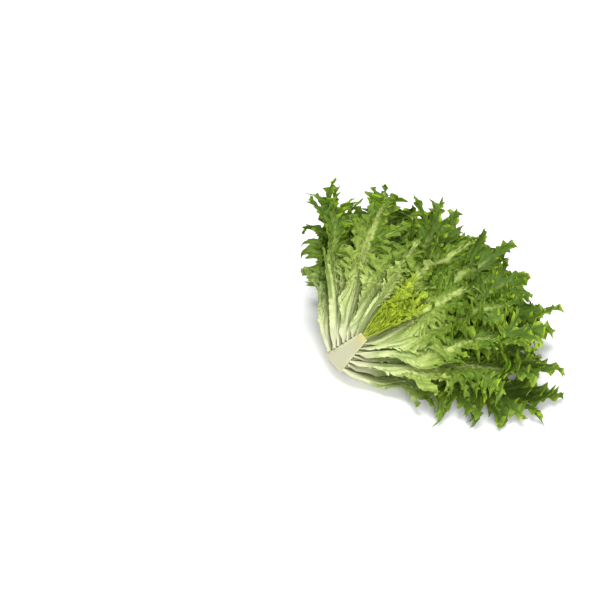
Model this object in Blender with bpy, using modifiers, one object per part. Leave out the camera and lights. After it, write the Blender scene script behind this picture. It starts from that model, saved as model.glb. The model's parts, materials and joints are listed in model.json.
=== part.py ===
"""Half a head of green leaf lettuce, cut lengthwise and laid on its rounded back.

Units are metres, +Z is up, and the origin lies on the table below the middle of the half.
Every leaf lies on a sheet of its own. The sheets are nested round the core as the layers of an onion are,
so leaves never cross, and each leaf's place on its sheet follows the golden angle, as on the plant.
"""

import math

import bmesh
import bpy
import numpy as np
from mathutils import Matrix

# How the half lies: its cut face leans back from the table, and its lower rim runs along the table
HEAD_X, HEAD_Y, HEAD_Z = -0.1103, -0.0669, 0.0220
RIM_TURN = math.radians(-23.3)
CUT_TILT = math.radians(45.6)
AXIS_TURN = math.radians(56.5)

# The stump that the leaves grow from
CORE_LENGTH = 0.046
CORE_FOOT_RADIUS = 0.014
CORE_TOP_RADIUS = 0.0055
CORE_TAPER = 0.8
CORE_SIDES = 28
SHOULDER = 0.001
CORE_GAP = 0.0005

# The leaves of the whole head, from the outermost in, of which this half keeps its own
HEAD_LEAVES = 47
GOLDEN_ANGLE = math.radians(137.508)
FIRST_TURN = math.radians(20.0)
KEPT_TURN = math.radians(94.0)
OUTER_OPEN, INNER_OPEN = math.radians(59.5), math.radians(14.5)
SPLAY, SPLAY_LEAVES = math.radians(16.0), 1.4
FIRST_ROOT, LAST_ROOT = 0.0035, 0.0425
SETTLE_LENGTH = 0.025
REACH, INNER_REACH = 0.221, 0.150
REACH_SPREAD = 0.008
SIDE_GROWTH, BACK_GROWTH = -0.12, 0.08
SPAN = 0.46
SWAY = math.radians(6.0)
SEED, HEART_SEED = 11, 7111

# One leaf
BLADE_WIDTH, INNER_BLADE_WIDTH = 0.092, 0.052
PETIOLE_WIDTH, INNER_PETIOLE_WIDTH = 0.018, 0.008
WIDEST_AT = 0.74
RIB_REACH = 0.87
LOBES = 17
LOBE_CUT, LOBE_JUT = 0.48, 0.13
LOW_LOBE_JUT = 0.6
LOBE_SHIFT = 0.16
LOBE_ENDS = 0.93
WAVE, INNER_WAVE = math.radians(1.4), math.radians(0.8)
CUP, INNER_CUP = math.radians(2.0), math.radians(0.3)
LIFT_FROM = 0.045
BLADE_THICKNESS = 0.0008
RIB_THICKNESS, INNER_RIB_THICKNESS = 0.0036, 0.0018
RING_SHARES = (0.0, 0.34, 0.66, 1.0)

# The heart: small crowded blades that grow together on a bud above the core
HEART_BLADES = 14
HEART_LOBES = 7
HEART_OPEN, HEART_INNER_OPEN = math.radians(12.0), math.radians(4.0)
HEART_REACH, HEART_INNER_REACH = 0.128, 0.085
HEART_BLADE_WIDTH, HEART_PETIOLE_WIDTH = 0.022, 0.0045
HEART_RIB_THICKNESS = 0.0012
HEART_WAVE = math.radians(0.8)
HEART_REACH_SPREAD = 0.004
BUD_RADIUS, BUD_HEIGHT = 0.0046, 0.0105
BUD_SIDES = 18
ROOT_SINK = 0.001

# The bowl that the sheets form in cross-section, and how far a leaf may stand past the cut
BOWL_DEPTH = 0.6
ROUND_NEAR, BOWL_FROM = 0.044, 0.125
RIM_LIMIT = 1.1
LEAST_CUT_SIDE = 0.0026

# Slow bends that the whole head shares, so they bend neighbours alike
BEND_HEIGHT = 0.0035
BEND_LENGTH = 0.085

# The head's weight presses its low leaves flatter: below PRESS_FROM they keep their order, and none could
# sink past PRESS_DEPTH. The core stays where it is: the pressing sets in at PRESS_BEYOND from its foot
PRESS_FROM, PRESS_DEPTH = 0.060, -0.0285
PRESS_BEYOND = 0.045

# The boxes that halve the core along its axis and flatten what lies on the table
CUTTER_SIZE = 0.6


def smooth_step(x):
    """0 below 0 and 1 above 1, with a smooth rise between."""
    x = np.clip(x, 0.0, 1.0)
    return x * x * (3.0 - 2.0 * x)


def head_axes():
    """The head's own directions: along its core, sideways in the cut, and out of the cut."""
    rim = np.array([math.cos(RIM_TURN), math.sin(RIM_TURN), 0.0])
    front = np.array([rim[1], -rim[0], 0.0])
    up = np.array([0.0, 0.0, 1.0])
    out = math.cos(CUT_TILT) * up + math.sin(CUT_TILT) * front
    rise = math.sin(CUT_TILT) * up - math.cos(CUT_TILT) * front
    along = math.cos(AXIS_TURN) * rim + math.sin(AXIS_TURN) * rise
    side = -math.sin(AXIS_TURN) * rim + math.cos(AXIS_TURN) * rise
    return along, side, out


ALONG, SIDE, OUT = head_axes()
HEAD = np.array([HEAD_X, HEAD_Y, HEAD_Z])


def core_radius(height):
    """The core's radius at a height above its foot."""
    share = np.clip(height / CORE_LENGTH, 0.0, 1.0) ** CORE_TAPER
    return CORE_FOOT_RADIUS + (CORE_TOP_RADIUS - CORE_FOOT_RADIUS) * share


def bowl_share(distance):
    """0 beside the core, where sheets are round, and 1 further out, where they form a shallow bowl."""
    return smooth_step((distance - ROUND_NEAR) / (BOWL_FROM - ROUND_NEAR))


def sweep_length(turn, distance):
    """Length along a sheet's cross-section of radius 1, from its middle to a turn of -1 to 1."""
    slope = 2.0 * BOWL_DEPTH * turn
    bowl = (slope * np.sqrt(1.0 + slope**2) + np.arcsinh(slope)) / (4.0 * BOWL_DEPTH)
    share = bowl_share(distance)
    return (1.0 - share) * 0.5 * math.pi * turn + share * bowl


def turn_at(length, distance):
    """The turn at which sweep_length reaches this length, found in a few steps along its slope."""
    turn = length.copy()
    share = bowl_share(distance)
    for _ in range(6):
        rate = (1.0 - share) * 0.5 * math.pi + share * np.sqrt(1.0 + (2.0 * BOWL_DEPTH * turn) ** 2)
        turn -= (sweep_length(turn, distance) - length) / rate
    return turn


def bend(points):
    """Points moved by slow waves that all the leaves share."""
    turned = points * (2.0 * math.pi / BEND_LENGTH)
    x, y, z = turned[..., 0], turned[..., 1], turned[..., 2]
    reach = np.linalg.norm(points - HEAD, axis=-1)
    swing = BEND_HEIGHT * smooth_step((reach - 0.05) / 0.10)
    waves = np.stack(
        [
            np.sin(0.9 * y + 0.5 * z + 0.4) + 0.5 * np.sin(1.7 * z - 0.6 * y + 2.0),
            np.sin(0.8 * z + 0.6 * x + 1.3) + 0.5 * np.sin(1.6 * x + 0.5 * z + 0.7),
            np.sin(0.9 * x - 0.5 * y + 2.6) + 0.5 * np.sin(1.5 * y + 0.7 * x + 4.1),
        ],
        axis=-1,
    )
    return points + 0.6 * swing[..., None] * waves


def press(points, distance):
    """Low points, raised in the order they lie, as the head's weight presses its leaves on the table."""
    height = points[..., 2]
    room = PRESS_FROM - PRESS_DEPTH
    low = PRESS_DEPTH + room * np.exp(np.minimum(height - PRESS_FROM, 0.0) / room)
    share = smooth_step((distance - PRESS_BEYOND) / PRESS_BEYOND)
    pressed = points.copy()
    pressed[..., 2] += share * (low - np.minimum(height, PRESS_FROM))
    return pressed


def sheet_points(distance, turn, opening):
    """Points at a distance from the core's foot, on the sheet that opens by this angle."""
    share = bowl_share(distance)
    across = (1.0 - share) * np.sin(0.5 * math.pi * turn) + share * turn
    behind = (1.0 - share) * np.cos(0.5 * math.pi * turn) + share * BOWL_DEPTH * (1.0 - turn**2)
    way = (
        np.cos(opening)[..., None] * ALONG
        + (np.sin(opening) * across)[..., None] * SIDE
        - (np.sin(opening) * behind)[..., None] * OUT
    )
    way /= np.linalg.norm(way, axis=-1, keepdims=True)
    return press(bend(HEAD + distance[..., None] * way), distance)


def spiral_turn(number):
    """The direction, round the core, in which leaf number grows: 0 is the middle of the half's back."""
    return (FIRST_TURN + number * GOLDEN_ANGLE + math.pi) % (2.0 * math.pi) - math.pi


def between(outer, inner, inwards):
    """A size that goes from the outermost leaf's to the innermost's."""
    return outer + (inner - outer) * inwards


def lobe_draws(chance, lobes):
    """Each lobe's shift round the edge, its size and its wave, drawn by chance."""
    return {
        "lobe_shifts": chance.uniform(-LOBE_SHIFT, LOBE_SHIFT, lobes + 1),
        "lobe_sizes": chance.uniform(0.75, 1.2, lobes),
        "wave_signs": np.where(np.arange(lobes) % 2 == chance.integers(2), 1.0, -1.0),
        "wave_sizes": chance.uniform(0.7, 1.1, lobes),
    }


def leaf_plan(number):
    """Where leaf number grows and how large it is. Leaves are numbered from the outermost in."""
    chance = np.random.default_rng(SEED + 100 * number)
    inwards = number / (HEAD_LEAVES - 1)
    azimuth = spiral_turn(number)
    root = between(FIRST_ROOT, LAST_ROOT, inwards)
    radius = core_radius(root) + CORE_GAP
    size = 1.0 - smooth_step((inwards - 0.55) / 0.45)
    reach = INNER_REACH + (REACH - INNER_REACH) * size
    reach *= 1.0 + SIDE_GROWTH * math.sin(azimuth) + BACK_GROWTH * math.cos(azimuth)
    reach += REACH_SPREAD * chance.uniform(-1.0, 1.0)
    start = math.hypot(radius, root)
    return {
        "azimuth": azimuth,
        "start": start,
        "root_opening": math.atan2(radius, root),
        "opening": between(OUTER_OPEN, INNER_OPEN, inwards) + SPLAY * math.exp(-number / SPLAY_LEAVES),
        "length": reach - start,
        "width": between(BLADE_WIDTH, INNER_BLADE_WIDTH, inwards),
        "petiole": between(PETIOLE_WIDTH, INNER_PETIOLE_WIDTH, inwards),
        "rib": between(RIB_THICKNESS, INNER_RIB_THICKNESS, inwards),
        "wave": between(WAVE, INNER_WAVE, inwards),
        "cup": between(CUP, INNER_CUP, inwards),
        "sway": SWAY * chance.uniform(-1.0, 1.0),
        "low_jut": LOW_LOBE_JUT,
        **lobe_draws(chance, LOBES),
    }


def heart_plan(number):
    """Where blade number of the heart grows, from the outermost in. It continues the leaves' spiral."""
    plan = leaf_plan(HEAD_LEAVES - 1)
    chance = np.random.default_rng(HEART_SEED + 100 * number)
    inwards = number / (HEART_BLADES - 1)
    root = CORE_LENGTH + CORE_GAP + between(0.0015, 0.0055, inwards)
    radius = between(BUD_RADIUS, 0.5 * BUD_RADIUS, inwards) - ROOT_SINK
    start = math.hypot(radius, root)
    reach = between(HEART_REACH, HEART_INNER_REACH, inwards)
    reach += HEART_REACH_SPREAD * chance.uniform(-1.0, 1.0)
    plan.update(
        azimuth=spiral_turn(HEAD_LEAVES + number),
        start=start,
        root_opening=math.atan2(radius, root),
        opening=between(HEART_OPEN, HEART_INNER_OPEN, inwards),
        length=reach - start,
        width=HEART_BLADE_WIDTH,
        petiole=HEART_PETIOLE_WIDTH,
        rib=HEART_RIB_THICKNESS,
        wave=HEART_WAVE,
        cup=0.0,
        low_jut=LOBE_JUT,
        **lobe_draws(chance, HEART_LOBES),
    )
    return plan


def outline(plan, ends):
    """Half-width and height of the leaf's smooth edge. ends is 0 at the tip and 1 at the root."""
    height = np.linspace(0.0, 1.0, 400)
    spread = smooth_step((height - 0.10) / (WIDEST_AT - 0.10)) ** 1.25
    half = 0.5 * (plan["petiole"] + (plan["width"] - plan["petiole"]) * spread)
    half = half * np.sqrt(1.0 - (np.maximum(height - WIDEST_AT, 0.0) / (1.0 - WIDEST_AT)) ** 2)
    tall = height * plan["length"]
    steps = np.hypot(np.diff(half), np.diff(tall))
    run = np.concatenate([[0.0], np.cumsum(steps)])
    share = 1.0 - run / run[-1]
    return np.interp(ends, share[::-1], half[::-1]), np.interp(ends, share[::-1], tall[::-1])


def lobe_bounds(plan):
    """The places of the notches between lobes, round the edge from -1 to 1 by way of the tip at 0."""
    even = np.linspace(-LOBE_ENDS, LOBE_ENDS, len(plan["lobe_sizes"]) + 1)
    return even + plan["lobe_shifts"] * (even[1] - even[0])


def edge_shape(plan, places):
    """How far the edge juts out or is cut in at places round it, and how far it waves up or down."""
    notches = lobe_bounds(plan)
    lobes = len(plan["lobe_sizes"])
    index = np.clip(np.searchsorted(notches, places) - 1, 0, lobes - 1)
    low, high = notches[index], notches[index + 1]
    inside = np.clip((places - low) / (high - low), 0.0, 1.0)
    tip = 1.0 - np.abs(2.0 * inside - 1.0) ** 1.4
    lower = smooth_step((np.abs(places) - 0.35) / 0.4)
    jut = (LOBE_JUT + (plan["low_jut"] - LOBE_JUT) * lower) * plan["lobe_sizes"][index]
    cut = LOBE_CUT * smooth_step((1.0 - np.abs(places)) / 0.1)
    edge = 1.0 + jut * tip - cut * (1.0 - tip)
    fade = smooth_step((0.97 - np.abs(places)) / 0.3)
    wave = plan["wave"] * fade * plan["wave_signs"][index] * plan["wave_sizes"][index] * tip
    return edge, wave


def opening_at(plan, distance):
    """The opening of the leaf's sheet at a distance from the core's foot."""
    settled = np.exp(-(distance - plan["start"]) / SETTLE_LENGTH)
    return plan["opening"] + (plan["root_opening"] - plan["opening"]) * settled


def midrib_length(plan, distance):
    """Where the midrib runs, as a length along the cross-section of radius 1."""
    share = np.clip((distance - plan["start"]) / plan["length"], 0.0, 1.0)
    sway = plan["sway"] * np.sin(math.pi * share**1.3)
    return sweep_length((plan["azimuth"] + sway) / (0.5 * math.pi), distance)


def kept_width(plan, width, distance):
    """Half-widths as the knife and the leaf's neighbours leave them. The left side's are negative."""
    radius = distance * np.sin(opening_at(plan, distance))
    middle = midrib_length(plan, distance)
    rim = sweep_length(RIM_LIMIT, distance)
    room = np.maximum(np.where(width > 0.0, rim - middle, rim + middle) * radius, LEAST_CUT_SIDE)
    room = np.minimum(room, SPAN * sweep_length(1.0, distance) * radius)
    share = np.abs(width) / room
    share = np.where(share < 0.7, share, 0.7 + 0.3 * np.tanh((share - 0.7) / 0.3))
    return np.sign(width) * share * room


def leaf_surface(plan, places, rings):
    """The leaf's inner face as a grid of points, by place round its edge and ring from midrib to edge."""
    ends = np.abs(places)
    half, tall = outline(plan, ends)
    edge, wave = edge_shape(plan, places)
    foot = RIB_REACH * plan["length"] * (1.0 - ends) ** 0.9
    foot = 0.5 * (foot + foot[::-1])
    kept = kept_width(plan, np.sign(places) * half, plan["start"] + tall)
    left = np.abs(kept) / np.maximum(half, 1e-9)
    edge = 1.0 + (edge - 1.0) * left
    ring = np.asarray(rings)[None, :]
    share = ring * (1.0 + (edge[:, None] - 1.0) * ring)
    x = (np.sign(places) * half * left)[:, None] * share
    y = foot[:, None] + (tall - foot)[:, None] * share
    distance = plan["start"] + y
    lift = (wave[:, None] * ring**2.5 + plan["cup"] * ring**2) * left[:, None] ** 1.5
    lift *= smooth_step(y / LIFT_FROM)
    opening = opening_at(plan, distance)
    turn = turn_at(midrib_length(plan, distance) + x / (distance * np.sin(opening)), distance)
    return sheet_points(distance, turn, opening - lift), x, y


def rib_weight(plan, x, y):
    """1 where the midrib is thickest and 0 out on the blade."""
    along = np.clip(1.0 - y / (RIB_REACH * plan["length"]), 0.0, 1.0)
    breadth = 0.3 * plan["petiole"]
    return along**0.8 * np.exp(-((x / breadth) ** 2))


def leaf_places(plan):
    """The places round the edge that the solid keeps: the root's corners, each notch and each lobe's tip."""
    notches = lobe_bounds(plan)
    tips = 0.5 * (notches[1:] + notches[:-1])
    tips[len(tips) // 2] = 0.0
    return np.sort(np.concatenate([[-1.0, 1.0], notches, tips]))


def grid_mesh(name, points, weights):
    """An open mesh of triangles over a leaf's grid, folded along its midrib so that both sides share it."""
    count, rings = points.shape[:2]
    middle = count // 2
    mesh = bmesh.new()
    weight_layer = mesh.verts.layers.deform.verify()
    rows = []
    for column in range(count):
        partner = count - 1 - column
        row = []
        for ring in range(rings):
            if ring == 0 and column > middle:
                row.append(rows[partner][0])
                continue
            vertex = mesh.verts.new(points[column, ring])
            vertex[weight_layer][0] = float(weights[column, ring])
            row.append(vertex)
        rows.append(row)
    for column in range(count - 1):
        for ring in range(rings - 1):
            a, b = rows[column][ring], rows[column][ring + 1]
            c, d = rows[column + 1][ring + 1], rows[column + 1][ring]
            for corners in ((a, c, b), (a, d, c)):
                if len(set(corners)) == 3:
                    mesh.faces.new(corners)
    made = bpy.data.meshes.new(name)
    mesh.to_mesh(made)
    mesh.free()
    return made


def add_leaf(collection, material, name, plan):
    """One leaf: its inner face, thickened outwards to the blade's and the midrib's thickness."""
    places = leaf_places(plan)
    points, x, y = leaf_surface(plan, places, RING_SHARES)
    # The midrib's points are the same from either side
    half = len(places) // 2
    points[:, 0] = 0.5 * (points[:, 0] + points[::-1, 0])
    weights = rib_weight(plan, x, y)
    mesh = grid_mesh(name, points, weights)
    leaf = bpy.data.objects.new(name, mesh)
    leaf.vertex_groups.new(name="rib")
    shell = leaf.modifiers.new("thickness", "SOLIDIFY")
    shell.thickness = plan["rib"]
    shell.offset = 1.0
    shell.vertex_group = "rib"
    shell.thickness_vertex_group = BLADE_THICKNESS / plan["rib"]
    leaf.data.materials.append(material)
    collection.objects.link(leaf)
    return leaf


def head_frame():
    """Places an object drawn upright at the origin along the head's own axis."""
    frame = Matrix.Identity(4)
    for column, axis in enumerate((SIDE, np.cross(ALONG, SIDE), ALONG)):
        for row in range(3):
            frame[row][column] = axis[row]
    frame.translation = HEAD
    return frame


def apply_modifiers(target):
    """Turn the object's modifiers into plain mesh."""
    bpy.context.view_layer.update()
    graph = bpy.context.evaluated_depsgraph_get()
    made = bpy.data.meshes.new_from_object(target.evaluated_get(graph))
    target.modifiers.clear()
    target.data = made


def turned_solid(collection, material, name, profile, steps):
    """A solid turned about the head's axis from points of radius and height, top to bottom."""
    mesh = bpy.data.meshes.new(name)
    edges = [(index, index + 1) for index in range(len(profile) - 1)]
    mesh.from_pydata([(radius, 0.0, height) for radius, height in profile], edges, [])
    solid = bpy.data.objects.new(name, mesh)
    solid.matrix_world = head_frame()
    turn = solid.modifiers.new("turn", "SCREW")
    turn.axis = "Z"
    turn.steps = turn.render_steps = steps
    turn.use_merge_vertices = True
    turn.merge_threshold = 0.00001
    solid.data.materials.append(material)
    collection.objects.link(solid)
    return solid


def cutter_box(collection, name, size, frame):
    """A box that other solids are cut with."""
    mesh = bpy.data.meshes.new(name)
    shape = bmesh.new()
    bmesh.ops.create_cube(shape, size=size)
    shape.to_mesh(mesh)
    shape.free()
    box = bpy.data.objects.new(name, mesh)
    box.matrix_world = frame
    box.hide_render = True
    box.display_type = "WIRE"
    collection.objects.link(box)
    return box


def cut_away(target, cutter):
    """Cut the cutter's shape out of the target."""
    cut = target.modifiers.new("cut", "BOOLEAN")
    cut.operation = "DIFFERENCE"
    cut.solver = "EXACT"
    cut.object = cutter


def core_profile():
    """Radius and height of the stump's outline, from its rounded top to its flat foot."""
    heights = np.linspace(CORE_LENGTH, 0.0, 9)
    side = [(float(core_radius(height)), float(height)) for height in heights]
    flat = [(0.0, CORE_LENGTH), (0.7 * CORE_TOP_RADIUS, CORE_LENGTH)]
    return flat + [(CORE_TOP_RADIUS, CORE_LENGTH - SHOULDER)] + side[1:] + [(0.0, 0.0)]


def bud_profile():
    """Radius and height of the heart's bud, from its tip to its flat foot just above the core."""
    foot = CORE_LENGTH + CORE_GAP
    dome = []
    for share in (0.0, 0.3, 0.55, 0.8, 1.0):
        angle = 0.5 * math.pi * share
        height = foot + SHOULDER + (BUD_HEIGHT - SHOULDER) * math.cos(angle)
        dome.append((BUD_RADIUS * math.sin(angle), height))
    return dome + [(0.8 * BUD_RADIUS, foot), (0.0, foot)]


def add_heart(collection, material, knife):
    """The heart: a bud cut in half, with small blades grown together on it."""
    blades = bpy.data.collections.new("Heart blades")
    bpy.context.scene.collection.children.link(blades)
    for number in range(HEART_BLADES):
        plan = heart_plan(number)
        if abs(plan["azimuth"]) < KEPT_TURN:
            blade = add_leaf(blades, material, f"blade_{number:02d}", plan)
            apply_modifiers(blade)
    heart = turned_solid(collection, material, "heart", bud_profile(), BUD_SIDES)
    cut_away(heart, knife)
    join = heart.modifiers.new("blades", "BOOLEAN")
    join.operation = "UNION"
    join.solver = "EXACT"
    join.operand_type = "COLLECTION"
    join.collection = blades
    apply_modifiers(heart)
    for blade in list(blades.objects):
        bpy.data.objects.remove(blade, do_unlink=True)
    bpy.data.collections.remove(blades)
    return heart


def lowest_point(target):
    """The lowest height of the object's finished shape."""
    bpy.context.view_layer.update()
    graph = bpy.context.evaluated_depsgraph_get()
    shape = target.evaluated_get(graph).to_mesh()
    return min((target.matrix_world @ vertex.co).z for vertex in shape.vertices)


def simple_material(name, colour, roughness):
    """A plain material of this colour."""
    material = bpy.data.materials.new(name)
    material.use_nodes = True
    shader = material.node_tree.nodes["Principled BSDF"]
    shader.inputs["Base Color"].default_value = (*colour, 1.0)
    shader.inputs["Roughness"].default_value = roughness
    return material


def main():
    for old in list(bpy.data.objects):
        bpy.data.objects.remove(old, do_unlink=True)
    parts = bpy.data.collections.new("Lettuce half")
    cutters = bpy.data.collections.new("Cutters")
    bpy.context.scene.collection.children.link(parts)
    bpy.context.scene.collection.children.link(cutters)
    cream = simple_material("core cream", (0.83, 0.80, 0.58), 0.45)
    green = simple_material("leaf green", (0.16, 0.34, 0.05), 0.5)
    lime = simple_material("heart lime", (0.55, 0.62, 0.10), 0.5)
    knife_frame = head_frame() @ Matrix.Translation((0.0, 0.5 * CUTTER_SIZE, 0.0))
    knife = cutter_box(cutters, "knife", CUTTER_SIZE, knife_frame)
    table = cutter_box(cutters, "table", CUTTER_SIZE, Matrix.Translation((0.0, 0.0, -0.5 * CUTTER_SIZE)))
    core = turned_solid(parts, cream, "core", core_profile(), CORE_SIDES)
    cut_away(core, knife)
    if lowest_point(core) < 0.0:
        cut_away(core, table)
    plans = [leaf_plan(number) for number in range(HEAD_LEAVES)]
    kept = [plan for plan in plans if abs(plan["azimuth"]) < KEPT_TURN]
    for count, plan in enumerate(kept, 1):
        leaf = add_leaf(parts, green, f"leaf_{count:02d}", plan)
        if lowest_point(leaf) < 0.0:
            cut_away(leaf, table)
    add_heart(parts, lime, knife)


main()
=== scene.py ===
"""The looks of half a head of frilled leaf lettuce: its leaves with their lobes, teeth and veins, its heart
and its cut core, on a white table in soft light. Units are metres, +Z is up.
"""

import json
import math

import bpy
import numpy as np
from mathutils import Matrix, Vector

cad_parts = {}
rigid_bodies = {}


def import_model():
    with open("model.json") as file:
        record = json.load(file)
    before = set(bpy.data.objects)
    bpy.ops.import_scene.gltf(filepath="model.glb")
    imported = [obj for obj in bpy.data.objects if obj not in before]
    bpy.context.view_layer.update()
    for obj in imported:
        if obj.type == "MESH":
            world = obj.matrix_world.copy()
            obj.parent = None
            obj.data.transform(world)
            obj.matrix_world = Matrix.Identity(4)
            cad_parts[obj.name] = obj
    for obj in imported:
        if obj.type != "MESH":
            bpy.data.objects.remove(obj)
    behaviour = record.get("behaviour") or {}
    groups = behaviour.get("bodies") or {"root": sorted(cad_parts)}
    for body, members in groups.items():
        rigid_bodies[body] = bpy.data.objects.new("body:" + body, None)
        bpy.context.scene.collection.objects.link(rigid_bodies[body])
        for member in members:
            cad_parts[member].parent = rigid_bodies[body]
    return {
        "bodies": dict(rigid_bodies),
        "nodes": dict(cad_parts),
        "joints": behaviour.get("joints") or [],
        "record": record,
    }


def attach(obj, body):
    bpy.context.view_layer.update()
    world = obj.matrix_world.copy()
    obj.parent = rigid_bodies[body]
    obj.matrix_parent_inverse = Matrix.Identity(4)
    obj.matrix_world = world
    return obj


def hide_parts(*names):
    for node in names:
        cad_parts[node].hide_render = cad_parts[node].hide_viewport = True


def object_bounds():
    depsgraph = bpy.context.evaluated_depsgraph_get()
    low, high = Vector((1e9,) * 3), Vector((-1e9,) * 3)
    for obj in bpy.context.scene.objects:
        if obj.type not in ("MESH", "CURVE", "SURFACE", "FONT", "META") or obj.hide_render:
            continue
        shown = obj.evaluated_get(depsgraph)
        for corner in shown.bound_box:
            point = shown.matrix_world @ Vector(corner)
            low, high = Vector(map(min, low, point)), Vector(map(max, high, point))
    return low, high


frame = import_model()
CAD_BOX = [list(corner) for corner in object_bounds()]

# How the half lies: its cut face leans back from the table, and its lower rim runs along the table
HEAD = np.array([-0.1103, -0.0669, 0.0220])
RIM_TURN = math.radians(-23.3)
CUT_TILT = math.radians(45.6)
AXIS_TURN = math.radians(56.5)

# The stump that the leaves grow from
CORE_LENGTH = 0.046
CORE_FOOT_RADIUS = 0.014
CORE_TOP_RADIUS = 0.0055
CORE_TAPER = 0.8
CORE_GAP = 0.0005
CORE_RINGS, CORE_SIDES = 56, 40
CORE_ROUNDED_OVER, CORE_ROUNDED_BY = 0.0015, 0.12
CORE_RIDGES, CORE_RIDGE_HEIGHT, CORE_RIDGE_TWIST = 5.0, 0.03, 160.0
CORE_FOOT_EDGE = 0.006

# The leaves of the whole head, of which this half keeps its own. Pairs are for its first leaf and its last
HEAD_LEAVES = 47
GOLDEN_ANGLE = math.radians(137.508)
FIRST_TURN = math.radians(20.0)
KEPT_TURN = math.radians(94.0)
OPEN = (math.radians(59.5), math.radians(14.5))
SPLAY, SPLAY_LEAVES = math.radians(16.0), 1.4
ROOT = (0.0035, 0.0425)
SETTLE_LENGTH = 0.025
REACH, INNER_REACH = 0.221, 0.150
SHORTER_FROM, SHORTER_OVER = 0.55, 0.45
REACH_SPREAD = 0.008
SIDE_GROWTH, BACK_GROWTH = -0.12, 0.08
SPAN = 0.46
SWAY = math.radians(6.0)
LOW_TURN, LOW_LEAVES = -0.7, 12
SEED, HEART_SEED, FRILL_SEED = 11, 7111, 40

# One leaf. Pairs are for the head's first leaf, the outermost, and its last
BLADE_WIDTH = (0.092, 0.052)
PETIOLE_WIDTH = (0.026, 0.015)
WIDEST_AT = 0.74
WING_FROM, WING_RISE = 0.08, 1.10
RIB_REACH = 0.87
LOBES = 17
LOBE_RISE, LOBE_SHIFT, LOBE_ENDS = 1.40, 0.16, 0.93
CUP = (math.radians(2.0), math.radians(0.3))
LIFT_FROM = 0.045
OUTLINE_POINTS = 400
WANDER, WANDER_LENGTH, WANDER_FROM = 0.0035, 0.085, 0.03
BLADE_THICKNESS = 0.0006
RIB_THICKNESS = (0.0065, 0.0034)
RIB_INSIDE = 0.3
VEIN_THICKNESS, VEIN_WIDTH = 0.3, 0.0015
FLESH = (0.0034, 0.0024)
FLESHY_TO, FLESHY_OVER = (0.115, 0.090), 0.045

# The lips that a leaf's fleshy edges form beside the cut. LIP_TO is for its left edge, where places are
# negative, and its right one, and LIP_WAVE is a range of chance
LIP_FROM, LIP_BEND, MOST_BENT = 0.35, 1.5, 1.3
OUTER_LIP, MOST_LIP = math.radians(5.0), math.radians(20.0)
LIPS_MEET, LIP_NEAR_CUT = 0.070, 0.6
LIP_TURN_FROM, LIP_TURN_OVER = 0.45, 0.3
LIP_TO, LIP_FADE, LIP_RISE = (0.190, 0.120), 0.085, 0.012
LIP_WAVE, LIP_UNEVEN = (0.035, 0.090), 0.3

# The bowl that the leaves' sheets form in cross-section, and how far a leaf may stand past the cut
BOWL_DEPTH = 0.6
ROUND_NEAR, BOWL_FROM = 0.044, 0.125
RIM_LIMIT = 1.1
LEAST_CUT_SIDE = 0.0026
FREE_WIDTH, PRESSED_WIDTH = 0.7, 0.3
TIP_COLUMNS, SIDE_BLUR = 0.02, 8

# Slow bends that the whole head shares, and the press of the head's weight on its low leaves
BEND_HEIGHT = 0.0035
BEND_LENGTH = 0.085
BEND_FROM, BEND_OVER = 0.05, 0.10
PRESS_FROM, PRESS_DEPTH = 0.060, -0.0285
PRESS_BEYOND = 0.045

# The heart's small blades. Pairs are for the outermost and the innermost
HEART_BLADES = 44
HEART_LOBES = 9
HEART_OPEN = (math.radians(12.5), math.radians(2.5))
HEART_REACH = (0.126, 0.060)
HEART_REACH_SPREAD = 0.010
HEART_BLADE_WIDTH, HEART_PETIOLE_WIDTH = 0.024, 0.0045
HEART_RIB_THICKNESS = 0.0012
HEART_CUP, HEART_HOOK = 0.08, 0.010
HEART_WISPS_FROM, HEART_WISPS_OVER = 0.002, 0.012
BUD_RADIUS, BUD_TIP, BUD_RISE, BUD_SUNK = 0.0046, 0.3, 0.0055, 0.001

# The lobes and frills that this finer surface adds to a leaf. Pairs are the ranges of chance
COLUMN_STEP, HEART_COLUMN_STEP = 0.0029, 0.0020
PLAIN_COLUMNS, LEAST_COLUMNS = 6, 8
RING_SHARES = (0.0, 0.12, 0.26, 0.41, 0.55, 0.69, 0.82, 0.93, 1.0)
HEART_RING_SHARES = (0.0, 0.2, 0.4, 0.6, 0.8, 1.0)
INNER_FRILL, HEART_FRILL = 0.75, 0.55
DEEP_CUT, TIP_CUT, TIP_CUT_TO = 0.68, 0.25, 0.15
SPLIT_SHARE, SPLIT_TO, SPLIT_BEYOND = 0.6, 0.55, 0.8
LOBE_SIZES, FINE_LOBE_SIZES = (0.75, 1.2), (0.6, 1.5)
END_LOBE, END_CURL, END_TWIST = 0.8, 0.5, 0.4
LOBE_JUT, DROPPED = 0.23, 0.32
LOBE_BELLY, CORNER_FALL, LOW_CORNER_FALL = 1.4, 3.0, 8.0
LOW_FROM, LOW_OVER = 0.42, 0.36
LOW_WISP, WISP_HALF = 1.1, 0.0013
LEAST_WISP, WISPS_FROM, WISPS_OVER = 0.06, 0.022, 0.055
SMOOTH_LOW = 0.030
SUBLOBE_LENGTH, TOOTH_LENGTH = 0.0070, 0.0032
SUBLOBE_JUT, TOOTH_JUT = 0.0062, 0.0024
SMALL_LENGTHS, SMALL_SIZES, LEAST_SMALL = (0.55, 1.45), (0.3, 1.3), 4
FOLD_HEIGHT, CRIMP_HEIGHT = 0.0065, 0.0020
TOOTH_LEAN, TOOTH_PEAK = 0.55, 0.16
LOBE_TWIST, LOBE_CURL = (0.4, 1.5), (0.4, 2.2)
TWIST_ALIKE, DROOPING, WISP_CALM = 0.7, 0.65, 0.7
HOOK, HOOK_FROM, HOOK_OVER = 0.010, 0.45, 0.6
PUCKER, PUCKER_LONG, PUCKER_WIDE, PUCKER_LEAN = 0.0013, 0.011, 0.009, 600.0
REACH_PAST = 0.010
LAYOUT_STRIPS = 4
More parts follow.
